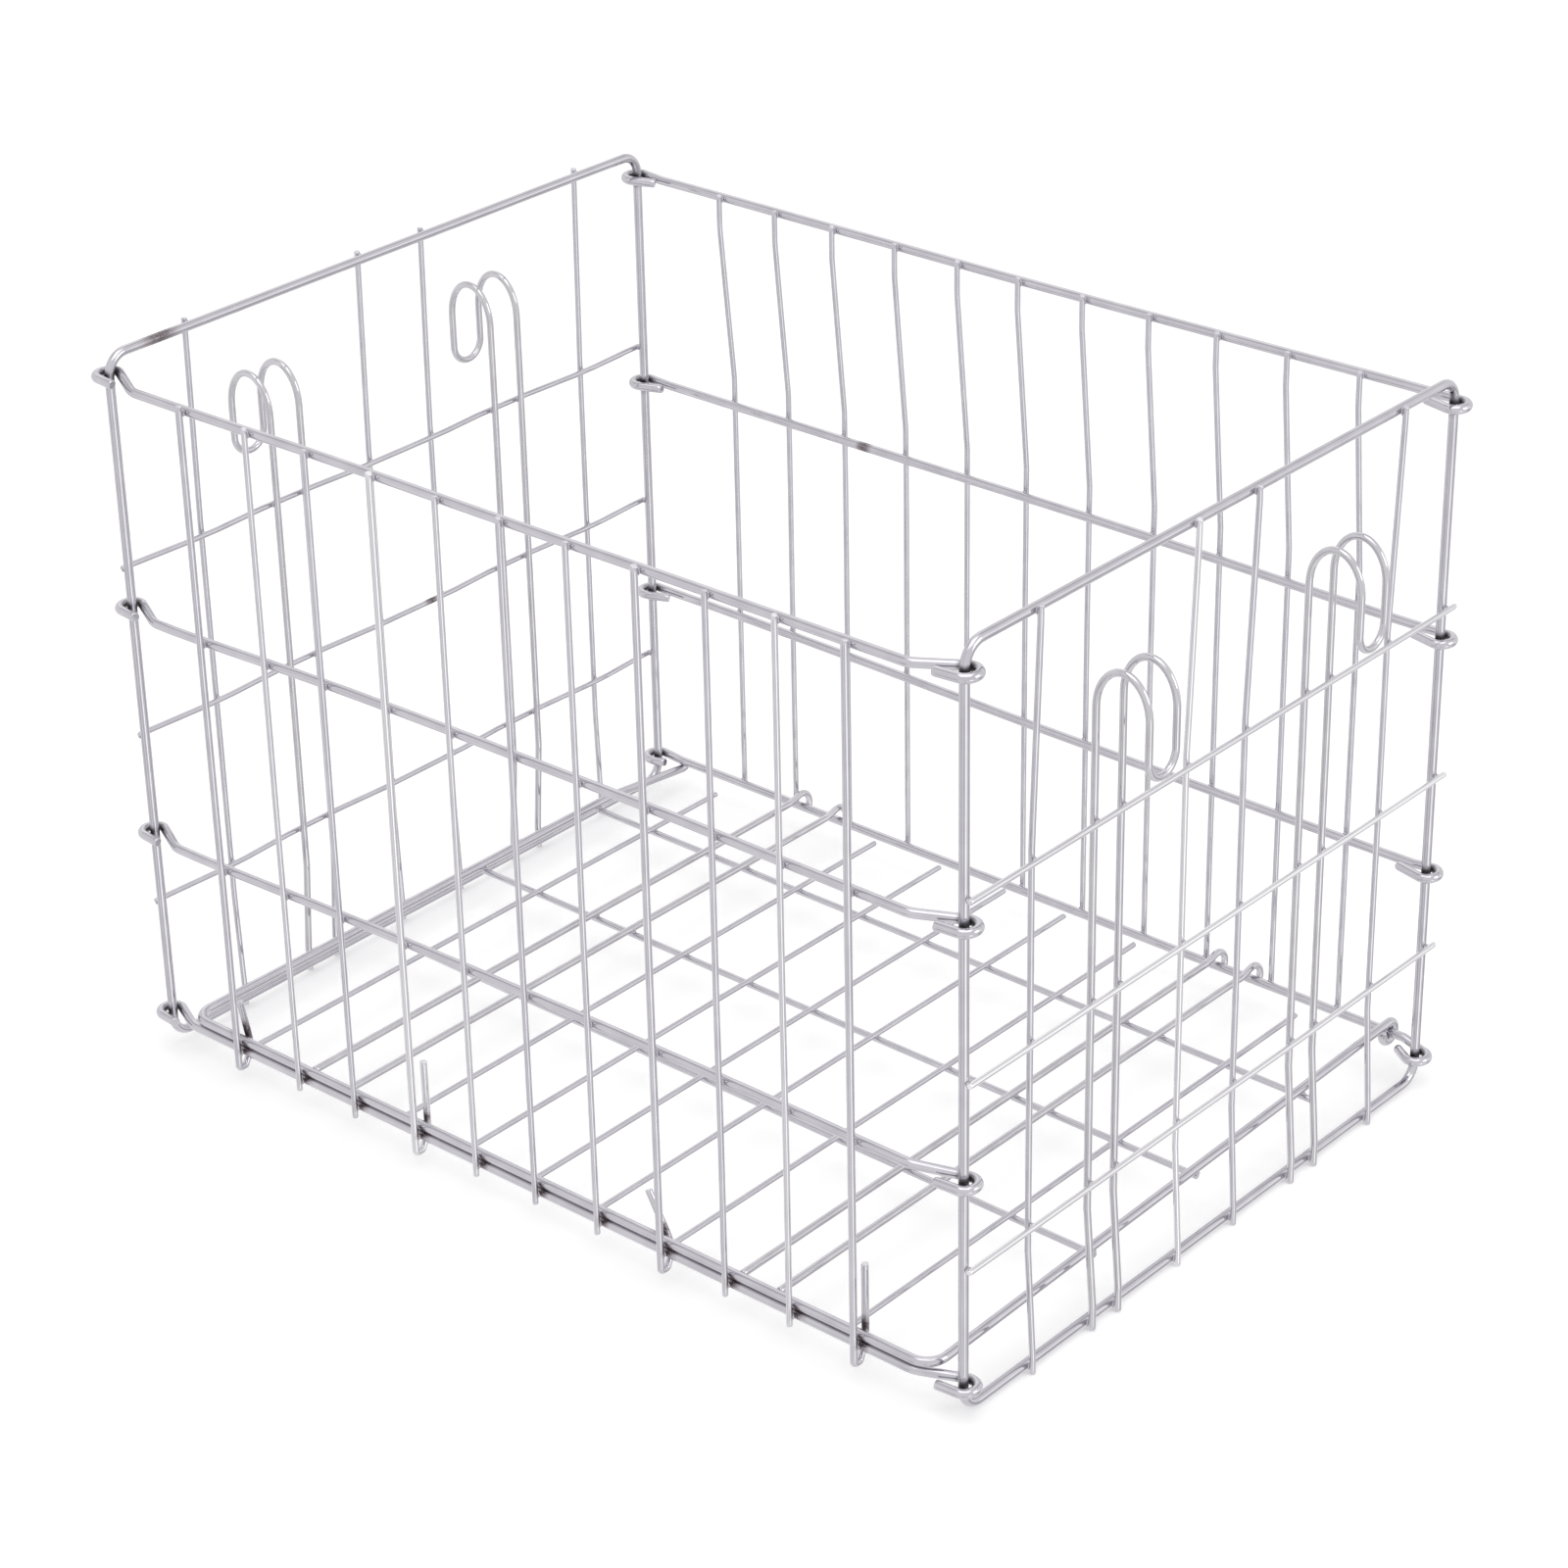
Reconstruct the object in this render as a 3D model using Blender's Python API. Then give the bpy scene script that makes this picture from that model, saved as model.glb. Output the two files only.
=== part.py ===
import math

import bmesh
import bpy
from mathutils import Vector

# A folding wire basket that hangs by four hooks on the side tubes of a wheelchair.
# Two loose-leaf panels (front and back) turn on the posts of two end frames, and a
# floor turns on the bottom rail of the back panel and drops behind the front panel.
# Sizes are in metres. X runs along the basket, -Y is the front and +Z is up. The
# basket stands on the cut ends of its end wires at Z = 0.

# Wire thicknesses
FRAME_WIRE = 0.0040
UPRIGHT_WIRE = 0.0025
HOOK_WIRE = 0.0030
LATCH_WIRE = 0.0030
FLOOR_HOOK_WIRE = 0.0032
FLOOR_CROSS_WIRE = 0.0029

# Clearances
WELD_GAP = 0.0003
GRID_BITE = 0.0003

# Posts and eyelets
POST_SPACING_X = 0.430
POST_SPACING_Y = 0.305
FRONT_LEFT_POST_SHIFT = 0.0061
EYELET_RADIUS = 0.0048
EYELET_SHIFT = 0.0006
EYELET_TILT = 0.0003

# Rails. Each one gives the heights of its left eyelet, of five even places along its
# run and of its right eyelet, because the wires are bowed and twisted a little.
RAIL_OFFSET = 0.0058
RUN_INSET = 0.0250
RAIL_BEND = 0.010
BOTTOM_RAIL = 0.0152
FRONT_RAILS = (
    {"left": 0.3115, "run": (0.3075, 0.3083, 0.3082, 0.3085, 0.3084), "right": 0.3087},
    {"left": 0.2098, "run": (0.2063, 0.2096, 0.2110, 0.2112, 0.2106), "right": 0.2096},
    {"left": 0.1055, "run": (0.1018, 0.1047, 0.1062, 0.1067, 0.1060), "right": 0.1028},
    {"left": 0.0178, "run": (BOTTOM_RAIL,) * 5, "right": 0.0134},
)
BACK_RAILS = (
    {"left": 0.3084, "run": (0.3074, 0.3070, 0.3067, 0.3070, 0.3075), "right": 0.3076},
    {"left": 0.2096, "run": (0.2088, 0.2086, 0.2086, 0.2079, 0.2064), "right": 0.2068},
    {"left": 0.1040, "run": (0.1035, 0.1025, 0.1006, 0.0995, 0.0989), "right": 0.1004},
    {"left": 0.0166, "run": (BOTTOM_RAIL,) * 5, "right": 0.0125},
)
FRONT_LEFT_TAIL = 0.0086
FRONT_RIGHT_TAIL = 0.0096
FRONT_LEFT_SLANT = 20
FRONT_RIGHT_SLANT = 29
BACK_LEFT_TAILS = (0.0105, 0.0105, 0.0105, 0.0055)
BACK_LEFT_TURN = 26
BACK_RIGHT_TAILS = (0.0115, 0.0115, 0.0120, 0.0085)
BACK_RIGHT_TURNS = (19, 19, 19, 38)
BACK_KNEE = 0.0100

# Uprights of the front and back panels
FRONT_UPRIGHT_PLACES = (
    -0.1703, -0.1330, -0.0996, -0.0639, -0.0293, 0.0038, 0.0375, 0.0716, 0.1051, 0.1378, 0.1699,
)
BACK_UPRIGHT_PLACES = (
    -0.1679, -0.1356, -0.1028, -0.0677, -0.0333, -0.0008, 0.0330, 0.0670, 0.1009, 0.1352, 0.1698,
)
UPRIGHT_OVERSHOOT = 0.0008
FRONT_FOOT_DROP = 0.0040
BACK_FOOT_DROP = 0.0027
BACK_SLANT_TOP = 0.2945
BACK_SLANT_FOOT = 0.2210

# Latches: four front uprights turn under the bottom rail and hold the floor
LATCH_DEPTH = 0.0094
LATCH_FOLD = 0.0036
LATCH_BEND = 0.0017
LATCH_BOTTOM = 0.0078
LATCH_KNEE = 0.0135
LATCH_SKEW = 0.0020
LATCHES = {
    1: {"tip_height": 0.0340, "lean": 0.0050},
    4: {"tip_height": 0.0470, "lean": 0.0},
    8: {"tip_height": 0.0355, "lean": 0.0120},
    11: {"tip_height": 0.0480, "lean": 0.0},
}

# End frames
END_FRAME_BEND = 0.009
END_WIRE_OVERSHOOT = 0.0004
ENDS = {
    "left": {
        "outward": -1,
        "front_post": -(POST_SPACING_Y / 2 + FRONT_LEFT_POST_SHIFT),
        "bottom": 0.0058,
        "top": 0.3196,
        "upright_places": (-0.1145, -0.0173, 0.0199, 0.1154),
        "crosswire_heights": (0.2264, 0.1501, 0.0710),
        "hook_places": (-0.0673, 0.0640),
        "crosswire_front": 0.0005,
        "crosswire_back": 0.0005,
        "crosswire_wave": 0.0014,
    },
    "right": {
        "outward": 1,
        "front_post": -POST_SPACING_Y / 2,
        "bottom": 0.0024,
        "top": 0.3185,
        "upright_places": (-0.1150, -0.0217, 0.0159, 0.1121),
        "crosswire_heights": (0.2209, 0.1456, 0.0659),
        "hook_places": (-0.0697, 0.0639),
        "crosswire_front": 0.0015,
        "crosswire_back": 0.0040,
        "crosswire_wave": 0.0,
    },
}

# Hooks, two on each end
HOOK_LEG_SPACING = 0.0165
HOOK_TOP = 0.2832
HOOK_REACH = 0.0235
HOOK_ARCH = 0.0165
HOOK_TIP_DROP = 0.0402
LEG_FOOT_HEIGHT = 0.011
LEG_BEND_HEIGHT = 0.054

# Floor
FLOOR_FRONT_GAP = 0.0004
FLOOR_FRONT_INSET = 0.0003
FLOOR_LEFT_FRONT = -0.2022
FLOOR_LEFT_BACK = -0.2000
FLOOR_RIGHT_FRONT = 0.2040
FLOOR_RIGHT_BACK = 0.1978
FLOOR_LEFT_HOOK = -0.2050
FLOOR_LEFT_DIP = 0.1050
FLOOR_BEND = 0.009
FLOOR_LOOP_TURN = 285
FLOOR_LEFT_WRAP = 70
FLOOR_CROSS_PLACES = (0.0950, 0.0186, -0.0520)
FLOOR_CROSS_SKEW = 0.0035
FLOOR_CROSS_LEFT = 0.0010
FLOOR_CROSS_RIGHT = (0.0045, 0.0010, 0.0010)
FLOOR_BAR_PLACES = (-0.1650, -0.0756, -0.0379, -0.0013, 0.0336, 0.0730, 0.1625)
FLOOR_BAR_BACK = (0.1380, 0.1475, 0.1480, 0.1490, 0.1475, 0.1465, 0.1405)
FLOOR_HOOK_PLACES = (-0.1300, -0.1076, 0.1086, 0.1273)
FLOOR_HOOK_RADIUS = 0.0060
FLOOR_HOOK_SHIFT = 0.0005
FLOOR_HOOK_RISE = 15
FLOOR_HOOK_WRAP = 130

# Surface detail
THICK_SIDES = 10
THIN_SIDES = 8
ARC_STEP = 20.0
PLATING = (0.63, 0.62, 0.66, 1.0)
PLATING_METALLIC = 0.9
PLATING_ROUGHNESS = 0.28

X_AXIS = Vector((1, 0, 0))
Y_AXIS = Vector((0, 1, 0))
Z_AXIS = Vector((0, 0, 1))

# Places that follow from the sizes above
HALF_X = POST_SPACING_X / 2
HALF_Y = POST_SPACING_Y / 2
RUN_REACH = HALF_X - RUN_INSET
RAIL_LINE = HALF_Y + RAIL_OFFSET
EYELET_X = HALF_X + EYELET_SHIFT
OUTER_LINE = RAIL_LINE + (FRAME_WIRE + UPRIGHT_WIRE) / 2 + WELD_GAP
INNER_LINE = RAIL_LINE - (FRAME_WIRE + UPRIGHT_WIRE) / 2 - WELD_GAP
END_OUTER = HALF_X + (FRAME_WIRE + UPRIGHT_WIRE) / 2 + WELD_GAP
THIN_PITCH = UPRIGHT_WIRE + WELD_GAP
LEG_PITCH = (UPRIGHT_WIRE + HOOK_WIRE) / 2 + WELD_GAP
FLOOR_HEIGHT = BOTTOM_RAIL + FRAME_WIRE + FLOOR_FRONT_GAP
FLOOR_FRONT = -RAIL_LINE + FLOOR_FRONT_INSET
FLOOR_CROSS_HEIGHT = FLOOR_HEIGHT - (FRAME_WIRE + FLOOR_CROSS_WIRE) / 2 - WELD_GAP
FLOOR_BAR_HEIGHT = FLOOR_CROSS_HEIGHT + (FLOOR_CROSS_WIRE + UPRIGHT_WIRE) / 2 - GRID_BITE
FLOOR_HOOK_HEIGHT = FLOOR_CROSS_HEIGHT + (FLOOR_CROSS_WIRE + FLOOR_HOOK_WIRE) / 2 + WELD_GAP
FLOOR_BAR_FRONT = FLOOR_FRONT + FRAME_WIRE / 2 + WELD_GAP


def arc(center, radius, first, second, start, stop):
    # Points on an arc, by angles in degrees from the first direction to the second.
    count = max(2, math.ceil(abs(stop - start) / ARC_STEP))
    points = []
    for index in range(count + 1):
        angle = math.radians(start + (stop - start) * index / count)
        across = math.cos(angle) * first + math.sin(angle) * second
        points.append(center + radius * across)
    return points


def rounded(points, bend, closed=False):
    # The same path with each corner turned into an arc of the bend radius.
    result = []
    count = len(points)
    for index, corner in enumerate(points):
        if not closed and index in (0, count - 1):
            result.append(corner)
            continue
        entry = (points[index - 1] - corner).normalized()
        leave = (points[(index + 1) % count] - corner).normalized()
        half = entry.angle(leave) / 2
        middle = corner + (entry + leave).normalized() * bend / math.sin(half)
        start = corner + entry * bend / math.tan(half) - middle
        stop = corner + leave * bend / math.tan(half) - middle
        turn = math.pi - 2 * half
        steps = max(2, math.ceil(math.degrees(turn) / ARC_STEP))
        for step in range(steps + 1):
            share = step / steps
            first = start * math.sin((1 - share) * turn)
            last = stop * math.sin(share * turn)
            result.append(middle + (first + last) / math.sin(turn))
    return result


def sloped(points, heights):
    # Spread a change of height evenly along a flat path.
    lengths = [0.0]
    for before, after in zip(points, points[1:]):
        lengths.append(lengths[-1] + (after - before).length)
    low, high = heights
    result = []
    for point, length in zip(points, lengths):
        height = low + (high - low) * length / lengths[-1]
        result.append(Vector((point.x, point.y, height)))
    return result


def add_tube(shell, points, radius, sides, closed):
    # A round wire along the points, with flat cut ends unless it is closed.
    count = len(points)
    rings = []
    normal = None
    for index, point in enumerate(points):
        before = points[index - 1] if closed or index else None
        after = points[(index + 1) % count] if closed or index < count - 1 else None
        tangent = Vector()
        if before is not None:
            tangent += (point - before).normalized()
        if after is not None:
            tangent += (after - point).normalized()
        tangent.normalize()
        if normal is None:
            normal = tangent.orthogonal()
        normal = (normal - tangent * normal.dot(tangent)).normalized()
        side = tangent.cross(normal)
        ring = []
        for step in range(sides):
            angle = 2 * math.pi * (step + 0.5) / sides
            offset = math.cos(angle) * normal + math.sin(angle) * side
            ring.append(shell.verts.new(point + radius * offset))
        rings.append(ring)
    pairs = list(zip(rings, rings[1:]))
    if closed:
        pairs.append((rings[-1], rings[0]))
    else:
        shell.faces.new(reversed(rings[0]))
        shell.faces.new(rings[-1])
    for ring, following in pairs:
        for step in range(sides):
            other = (step + 1) % sides
            face = shell.faces.new((ring[step], ring[other], following[other], following[step]))
            face.smooth = True


def wire_mesh(name, paths, diameter, closed=False):
    sides = THICK_SIDES if diameter > UPRIGHT_WIRE else THIN_SIDES
    shell = bmesh.new()
    for points in paths:
        add_tube(shell, points, diameter / 2, sides, closed)
    bmesh.ops.recalc_face_normals(shell, faces=shell.faces)
    mesh = bpy.data.meshes.new(name)
    shell.to_mesh(mesh)
    shell.free()
    return mesh


def plating(name):
    material = bpy.data.materials.new(name + "_plating")
    material.use_nodes = True
    shader = material.node_tree.nodes["Principled BSDF"]
    shader.inputs["Base Color"].default_value = PLATING
    shader.inputs["Metallic"].default_value = PLATING_METALLIC
    shader.inputs["Roughness"].default_value = PLATING_ROUGHNESS
    material.diffuse_color = PLATING
    return material


def add_pivot(name, location, parent=None):
    pivot = bpy.data.objects.new(name, None)
    pivot.empty_display_size = 0.02
    bpy.context.scene.collection.objects.link(pivot)
    pivot.parent = parent
    pivot.location = location if parent is None else location - parent.location
    return pivot


def add_part(name, mesh, place, pivot):
    # Place a copy of a mesh that was drawn around its own origin.
    part = bpy.data.objects.new(name, mesh.copy())
    part.data.materials.append(plating(name))
    bpy.context.scene.collection.objects.link(part)
    part.parent = pivot
    part.location = place - world_place(pivot)
    return part


def world_place(pivot):
    place = Vector()
    while pivot is not None:
        place += pivot.location
        pivot = pivot.parent
    return place


def flat_point(x, y):
    return Vector((x, y, 0.0))


def rail_top(rails):
    # The uprights stand a little above the middle of the top rail.
    return rails[0]["run"][2] + FRAME_WIRE / 2 + UPRIGHT_OVERSHOOT


def run_stations(line, heights):
    # Even places along the main run of a rail.
    places = [RUN_REACH * share for share in (-1, -0.5, 0, 0.5, 1)]
    return [Vector((x, line, height)) for x, height in zip(places, heights)]


def eyelet(corner, start, stop, height, tail, tail_first):
    # A loop round a post with a straight tail on its cut end.
    loop = arc(corner, EYELET_RADIUS, X_AXIS, Y_AXIS, start, stop)
    if tail_first:
        heading = (loop[0] - loop[1]).normalized()
        tip = loop[0] + heading * tail
        return sloped([tip] + loop, (height - EYELET_TILT, height + EYELET_TILT))
    heading = (loop[-1] - loop[-2]).normalized()
    tip = loop[-1] + heading * tail
    return sloped(loop + [tip], (height + EYELET_TILT, height - EYELET_TILT))


def front_rail_path(rail):
    # Eyelet, slant behind the post, bowed run, slant and eyelet of a front rail.
    left = flat_point(-EYELET_X, ENDS["left"]["front_post"])
    right = flat_point(EYELET_X, -HALF_Y)
    left_stop = 90 - FRONT_LEFT_SLANT
    right_start = 90 + FRONT_RIGHT_SLANT
    left_eye = eyelet(left, 270, left_stop, rail["left"], FRONT_LEFT_TAIL, True)
    right_eye = eyelet(right, right_start, -90, rail["right"], FRONT_RIGHT_TAIL, False)
    stations = run_stations(-RAIL_LINE, rail["run"])
    left_run = (RAIL_LINE + left_eye[-1].y) / math.tan(math.radians(FRONT_LEFT_SLANT))
    right_run = (RAIL_LINE + right_eye[0].y) / math.tan(math.radians(FRONT_RIGHT_SLANT))
    left_knee = Vector((left_eye[-1].x + left_run, -RAIL_LINE, stations[0].z))
    right_knee = Vector((right_eye[0].x - right_run, -RAIL_LINE, stations[-1].z))
    left_bend = rounded([left_eye[-1], left_knee, stations[0]], RAIL_BEND)[:-1]
    right_bend = rounded([stations[-1], right_knee, right_eye[0]], RAIL_BEND)[1:]
    return left_eye[:-1] + left_bend + stations + right_bend + right_eye[1:]


def back_rail_path(rail, left_tail, right_tail, right_turn):
    # The back rail passes straight behind both posts before it turns round them.
    left = flat_point(-EYELET_X, HALF_Y)
    right = flat_point(EYELET_X, HALF_Y)
    left_eye = eyelet(left, 270 + BACK_LEFT_TURN, 90, rail["left"], left_tail, True)
    right_eye = eyelet(right, 90, -90 - right_turn, rail["right"], right_tail, False)
    stations = run_stations(RAIL_LINE, rail["run"])
    left_knee = Vector((BACK_KNEE - EYELET_X, RAIL_LINE, stations[0].z))
    right_knee = Vector((EYELET_X - BACK_KNEE, RAIL_LINE, stations[-1].z))
    return left_eye + [left_knee] + stations + [right_knee] + right_eye


def back_upright_path():
    # On the inside of the top rail and on the outside of the three rails below it.
    return [
        Vector((0, OUTER_LINE, BOTTOM_RAIL - BACK_FOOT_DROP)),
        Vector((0, OUTER_LINE, BACK_SLANT_FOOT)),
        Vector((0, INNER_LINE, BACK_SLANT_TOP)),
        Vector((0, INNER_LINE, rail_top(BACK_RAILS))),
    ]


def front_upright_path():
    foot = BOTTOM_RAIL - FRONT_FOOT_DROP
    top = rail_top(FRONT_RAILS)
    return [Vector((0, -OUTER_LINE, foot)), Vector((0, -OUTER_LINE, top))]


def latch_path(tip_height, lean):
    # An upright folded tightly under the bottom rail that rises again behind it.
    line = RAIL_LINE + (FRAME_WIRE + LATCH_WIRE) / 2 + WELD_GAP
    corners = [
        Vector((0, -line, rail_top(FRONT_RAILS))),
        Vector((0, -line, LATCH_BOTTOM)),
        Vector((0, -line + LATCH_FOLD, LATCH_BOTTOM)),
        Vector((-LATCH_SKEW, -line + LATCH_DEPTH, LATCH_KNEE)),
        Vector((-LATCH_SKEW - lean, -line + LATCH_DEPTH, tip_height)),
    ]
    return rounded(corners, LATCH_BEND)


def end_frame_path(end):
    corners = (
        (end["front_post"], end["bottom"]),
        (HALF_Y, end["bottom"]),
        (HALF_Y, end["top"]),
        (end["front_post"], end["top"]),
    )
    points = [Vector((0, y, z)) for y, z in corners]
    return rounded(points, END_FRAME_BEND, closed=True)


def end_upright_path(end):
    # Welded outside the end frame's rails, and bowed between them by the crosswires.
    bow = THIN_PITCH - end["crosswire_wave"] if end["crosswire_wave"] else -THIN_PITCH
    rail_x = end["outward"] * END_OUTER
    bowed_x = end["outward"] * (END_OUTER + bow)
    stations = (
        (rail_x, 0.0),
        (rail_x, end["bottom"] + FRAME_WIRE),
        (bowed_x, LEG_BEND_HEIGHT),
        (bowed_x, end["crosswire_heights"][0] + FRAME_WIRE),
        (rail_x, end["top"] - FRAME_WIRE),
        (rail_x, end["top"] + FRAME_WIRE / 2 + END_WIRE_OVERSHOOT),
    )
    return [Vector((x, 0, z)) for x, z in stations]


def crosswire_path(end):
    # The wire lies outside the posts and hook legs, and dips in where uprights cross it.
    line = end["outward"] * END_OUTER
    dip = end["outward"] * (END_OUTER - end["crosswire_wave"])
    stations = [
        (end["front_post"] - end["crosswire_front"], line),
        (HALF_Y + end["crosswire_back"], line),
    ]
    if end["crosswire_wave"]:
        reach = FRAME_WIRE + UPRIGHT_WIRE
        leg = HOOK_LEG_SPACING / 2 + reach
        stations += [(end["front_post"] + reach, line), (HALF_Y - reach, line)]
        for place in end["upright_places"]:
            stations += [(place - reach, dip), (place + reach, dip)]
        for place in end["hook_places"]:
            stations += [(place - leg, line), (place + leg, line)]
    return [Vector((x, y, 0)) for y, x in sorted(stations)]


def hook_path(outward):
    # Both legs and the return of a hook are one wire, drawn for the +X end.
    leg_x = END_OUTER - LEG_PITCH
    foot_x = HALF_X + (FRAME_WIRE + HOOK_WIRE) / 2 + WELD_GAP
    half = HOOK_LEG_SPACING / 2
    radius = HOOK_REACH / 2
    arch_foot = Vector((leg_x + radius, -half, HOOK_TOP - HOOK_ARCH))
    arm_foot = HOOK_TOP - HOOK_TIP_DROP + half
    leg = [Vector((foot_x, -half, 0.0)), Vector((foot_x, -half, LEG_FOOT_HEIGHT))]
    leg.append(Vector((leg_x, -half, LEG_BEND_HEIGHT)))
    leg += arc(arch_foot, radius, -X_AXIS, Z_AXIS * HOOK_ARCH / radius, 0, 180)
    tip = arc(Vector((leg_x + 2 * radius, 0, arm_foot)), half, -Y_AXIS, -Z_AXIS, 0, 180)
    other = [Vector((point.x, -point.y, point.z)) for point in reversed(leg)]
    return [Vector((outward * point.x, point.y, point.z)) for point in leg + tip + other]


def floor_turn(x, start, stop):
    # Part of a turn round the back bottom rail, by angles from its top towards its back.
    center = Vector((x, RAIL_LINE, BOTTOM_RAIL))
    return arc(center, FLOOR_HEIGHT - BOTTOM_RAIL, Z_AXIS, Y_AXIS, start, stop)


def floor_side_place(front, back, y):
    # Where the straight line of a side wire passes at one depth.
    share = (y - FLOOR_FRONT) / (RAIL_LINE - FLOOR_FRONT)
    return front + (back - front) * share


def floor_frame_path():
    # The left side wire dips under the back rail, and the right one turns over it.
    under = floor_turn(FLOOR_LEFT_HOOK, 180, 180 - FLOOR_LEFT_WRAP)
    over = floor_turn(FLOOR_RIGHT_BACK, 0, FLOOR_LOOP_TURN)
    dip_x = floor_side_place(FLOOR_LEFT_FRONT, FLOOR_LEFT_BACK, FLOOR_LEFT_DIP)
    corners = [
        Vector((dip_x, FLOOR_LEFT_DIP, FLOOR_HEIGHT)),
        Vector((FLOOR_LEFT_FRONT, FLOOR_FRONT, FLOOR_HEIGHT)),
        Vector((FLOOR_RIGHT_FRONT, FLOOR_FRONT, FLOOR_HEIGHT)),
        over[0],
    ]
    return list(reversed(under)) + rounded(corners, FLOOR_BEND) + over[1:]


def floor_hook_path():
    # A floor wire that passes over the back bottom rail and curls down behind it.
    center = Vector((0, RAIL_LINE + FLOOR_HOOK_SHIFT, BOTTOM_RAIL))
    curl = arc(center, FLOOR_HOOK_RADIUS, Z_AXIS, Y_AXIS, -FLOOR_HOOK_RISE, FLOOR_HOOK_WRAP)
    rise = curl[0].z - FLOOR_HOOK_HEIGHT
    knee_y = curl[0].y - rise / math.tan(math.radians(FLOOR_HOOK_RISE))
    corners = [
        Vector((0, FLOOR_BAR_FRONT, FLOOR_HOOK_HEIGHT)),
        Vector((0, knee_y, FLOOR_HOOK_HEIGHT)),
        curl[0],
    ]
    return rounded(corners, RAIL_BEND)[:-1] + curl


def floor_cross_paths():
    paths = []
    for place, extra in zip(FLOOR_CROSS_PLACES, FLOOR_CROSS_RIGHT):
        left = floor_side_place(FLOOR_LEFT_FRONT, FLOOR_LEFT_BACK, place)
        right = floor_side_place(FLOOR_RIGHT_FRONT, FLOOR_RIGHT_BACK, place)
        start = Vector((left - FLOOR_CROSS_LEFT, place, FLOOR_CROSS_HEIGHT))
        stop = Vector((right + extra, place - FLOOR_CROSS_SKEW, FLOOR_CROSS_HEIGHT))
        paths.append([start, stop])
    return paths


def floor_bar_paths():
    paths = []
    for place, back in zip(FLOOR_BAR_PLACES, FLOOR_BAR_BACK):
        start = Vector((place, FLOOR_BAR_FRONT, FLOOR_BAR_HEIGHT))
        stop = Vector((place, back, FLOOR_BAR_HEIGHT))
        paths.append([start, stop])
    return paths


def build_back_panel(pivot):
    upright = wire_mesh("back_upright", [back_upright_path()], UPRIGHT_WIRE)
    for number, rail in enumerate(BACK_RAILS, 1):
        left_tail, right_tail = BACK_LEFT_TAILS[number - 1], BACK_RIGHT_TAILS[number - 1]
        path = back_rail_path(rail, left_tail, right_tail, BACK_RIGHT_TURNS[number - 1])
        mesh = wire_mesh(f"back_rail_{number}", [path], FRAME_WIRE)
        add_part(f"back_rail_{number}", mesh, Vector(), pivot)
    for number, place in enumerate(BACK_UPRIGHT_PLACES, 1):
        add_part(f"back_upright_{number}", upright, X_AXIS * place, pivot)


def build_front_panel(pivot):
    plain = wire_mesh("front_upright", [front_upright_path()], UPRIGHT_WIRE)
    for number, rail in enumerate(FRONT_RAILS, 1):
        mesh = wire_mesh(f"front_rail_{number}", [front_rail_path(rail)], FRAME_WIRE)
        add_part(f"front_rail_{number}", mesh, Vector(), pivot)
    for number, place in enumerate(FRONT_UPRIGHT_PLACES, 1):
        mesh = plain
        if number in LATCHES:
            path = latch_path(**LATCHES[number])
            mesh = wire_mesh(f"front_latch_{number}", [path], LATCH_WIRE)
        add_part(f"front_upright_{number}", mesh, X_AXIS * place, pivot)


def build_end(side, pivot):
    end = ENDS[side]
    frame = wire_mesh("end_frame", [end_frame_path(end)], FRAME_WIRE, closed=True)
    upright = wire_mesh("end_upright", [end_upright_path(end)], UPRIGHT_WIRE)
    cross = wire_mesh("end_crosswire", [crosswire_path(end)], UPRIGHT_WIRE)
    hook = wire_mesh("end_hook", [hook_path(end["outward"])], HOOK_WIRE)
    add_part(f"{side}_frame", frame, X_AXIS * end["outward"] * HALF_X, pivot)
    for number, place in enumerate(end["upright_places"], 1):
        add_part(f"{side}_upright_{number}", upright, Y_AXIS * place, pivot)
    for number, height in enumerate(end["crosswire_heights"], 1):
        add_part(f"{side}_crosswire_{number}", cross, Z_AXIS * height, pivot)
    for number, place in enumerate(end["hook_places"], 1):
        add_part(f"{side}_hook_{number}", hook, Y_AXIS * place, pivot)


def build_floor(pivot):
    frame = wire_mesh("floor_frame", [floor_frame_path()], FRAME_WIRE)
    hook = wire_mesh("floor_hook_wire", [floor_hook_path()], FLOOR_HOOK_WIRE)
    cross = wire_mesh("floor_grid", floor_cross_paths(), FLOOR_CROSS_WIRE)
    bars = wire_mesh("floor_bars", floor_bar_paths(), UPRIGHT_WIRE)
    add_part("floor_frame", frame, Vector(), pivot)
    for number, place in enumerate(FLOOR_HOOK_PLACES, 1):
        add_part(f"floor_hook_wire_{number}", hook, X_AXIS * place, pivot)
    grid = add_part("floor_grid", cross, Vector(), pivot)
    cutter = add_part("floor_bars_operand", bars, Vector(), pivot)
    cutter.hide_render = True
    cutter.display_type = "WIRE"
    join = grid.modifiers.new("weld the bars to the cross wires", "BOOLEAN")
    join.operation = "UNION"
    join.solver = "EXACT"
    join.object = cutter


for old in list(bpy.data.objects):
    bpy.data.objects.remove(old, do_unlink=True)

back_pivot = add_pivot("back_panel_pivot", Vector())
left_pivot = add_pivot("left_end_pivot", Vector((-HALF_X, HALF_Y, 0)))
right_pivot = add_pivot("right_end_pivot", Vector((HALF_X, HALF_Y, 0)))
front_post = Vector((-HALF_X, ENDS["left"]["front_post"], 0))
front_pivot = add_pivot("front_panel_pivot", front_post, left_pivot)
floor_pivot = add_pivot("floor_pivot", Vector((0, RAIL_LINE, BOTTOM_RAIL)))

build_back_panel(back_pivot)
build_front_panel(front_pivot)
build_end("left", left_pivot)
build_end("right", right_pivot)
build_floor(floor_pivot)
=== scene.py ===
import math

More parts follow.
